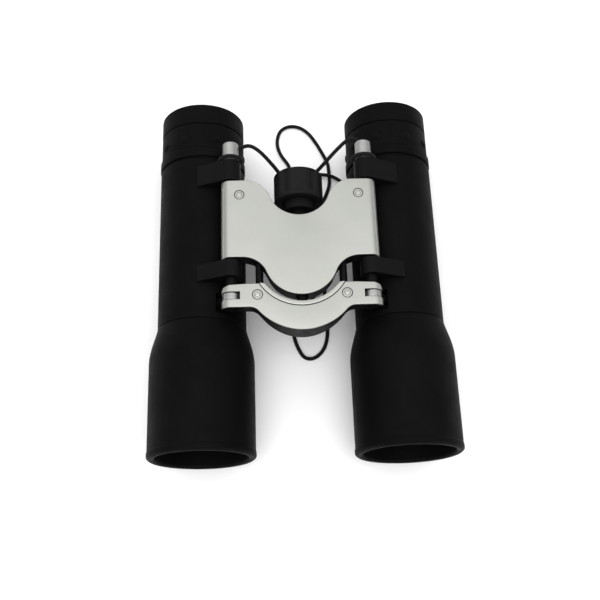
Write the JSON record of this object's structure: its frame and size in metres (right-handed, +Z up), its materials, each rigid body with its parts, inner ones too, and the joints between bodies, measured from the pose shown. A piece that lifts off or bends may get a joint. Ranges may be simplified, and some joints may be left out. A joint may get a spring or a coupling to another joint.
{
  "type": "compact binoculars",
  "caption": "Compact roof-prism binoculars with double-hinge bridge, silver shield plate, black rubber-armoured barrels, centre focus knob and a braided neck cord",
  "frame": {"origin": "centre of the bottom of the bounding box, under the middle of the bridge, on the surface the barrels lie on", "axes": "+X across to the user's right-hand barrel when the plate faces up and the eyepieces point away from the viewer, +Y towards the eyepieces, +Z up out of the bridge plate"},
  "size_m": [0.1158, 0.1519, 0.0478],
  "materials": {
    "satin_plate": "satin silver lacquer, faintly warm",
    "strap_cord": "braided black cord",
    "brass_bush": "machined",
    "steel_rod": "dull satin turned steel",
    "optical_glass": "polished, coated",
    "rubber_armour": "matte, very fine grain",
    "knob_plastic": "fine matte grain",
    "black_metal": "die-cast, black semi-matte paint"
  },
  "bodies": {
    "bridge": {"bridge_body": "black_metal", "top_plate": "satin_plate", "plate_rivets": "satin_plate", "focus_bearing": "black_metal", "guide_bars": "black_metal", "left_strap_loop": "strap_cord", "strap_cord_left": "strap_cord", "strap_hank": "strap_cord", "hank_tie": "strap_cord", "strap_cord_right": "strap_cord", "right_strap_loop": "strap_cord"},
    "left_barrel": {"left_barrel_tube": "black_metal", "left_tube_armour": "rubber_armour", "left_bell_armour": "rubber_armour", "left_collar": "black_metal", "left_eyecup": "rubber_armour", "left_rod_cap": "steel_rod", "left_prism_cage": "black_metal", "left_roof_prism": "optical_glass", "left_half_prism": "optical_glass", "left_eyepiece_tube": "black_metal", "left_field_lens": "optical_glass", "left_eye_lens": "optical_glass", "left_eye_lens_ring": "black_metal", "left_grip_ring": "rubber_armour"},
    "right_barrel": {"right_barrel_tube": "black_metal", "right_tube_armour": "rubber_armour", "right_bell_armour": "rubber_armour", "right_collar": "black_metal", "right_eyecup": "rubber_armour", "right_rod_cap": "steel_rod", "right_prism_cage": "black_metal", "right_roof_prism": "optical_glass", "right_half_prism": "optical_glass", "right_eyepiece_tube": "black_metal", "right_field_lens": "optical_glass", "right_eye_lens": "optical_glass", "right_eye_lens_ring": "black_metal"},
    "dioptre": {"dioptre_ring": "rubber_armour"},
    "knob": {"focus_knob": "knob_plastic", "focus_shaft": "steel_rod", "knob_end_cap": "knob_plastic"},
    "focus_bridge": {"focus_carrier": "black_metal", "focus_plate": "satin_plate", "focus_rivets": "satin_plate", "focus_nut": "brass_bush"},
    "left_carriage": {"left_hinge_rod": "black_metal", "left_focus_arm": "steel_rod", "left_objective_cell": "black_metal", "left_objective_crown": "optical_glass", "left_objective_flint": "optical_glass", "left_objective_ring": "black_metal"},
    "right_carriage": {"right_hinge_rod": "black_metal", "right_focus_arm": "steel_rod", "right_objective_cell": "black_metal", "right_objective_crown": "optical_glass", "right_objective_flint": "optical_glass", "right_objective_ring": "black_metal"}
  },
  "joints": [
    {"name": "left_fold", "type": "hinge", "parent": "bridge", "child": "left_barrel", "pos_m": [-0.0259, 0, 0.039], "axis": [0, -1, 0], "range_deg": [-5, 47], "deforming": ["strap_cord_left", "strap_cord_right"]},
    {"name": "right_fold", "type": "hinge", "parent": "bridge", "child": "right_barrel", "pos_m": [0.0259, 0, 0.039], "axis": [0, 1, 0], "range_deg": [-5, 47], "deforming": ["strap_cord_left", "strap_cord_right"]},
    {"name": "focus_turn", "type": "hinge", "parent": "bridge", "child": "knob", "pos_m": [0, 0, 0.0385], "axis": [0, 1, 0], "range_deg": [-300, 300]},
    {"name": "focus_slide", "type": "slide", "parent": "bridge", "child": "focus_bridge", "axis": [0, 1, 0], "range_m": [-0.00208, 0.00208]},
    {"name": "left_focus", "type": "slide", "parent": "left_barrel", "child": "left_carriage", "axis": [0, 1, 0], "range_m": [-0.0021, 0.0021]},
    {"name": "right_focus", "type": "slide", "parent": "right_barrel", "child": "right_carriage", "axis": [0, 1, 0], "range_m": [-0.0021, 0.0021]},
    {"name": "dioptre_turn", "type": "hinge", "parent": "right_barrel", "child": "dioptre", "pos_m": [0.0379, 0, 0.02], "axis": [0, 1, 0], "range_deg": [-40, 40]}
  ],
  "couplings": [
    {"joint": "focus_turn", "follows": "focus_slide", "rad_per_m": 2513.3},
    {"joint": "left_focus", "follows": "focus_slide", "ratio": 1},
    {"joint": "right_focus", "follows": "focus_slide", "ratio": 1}
  ]
}
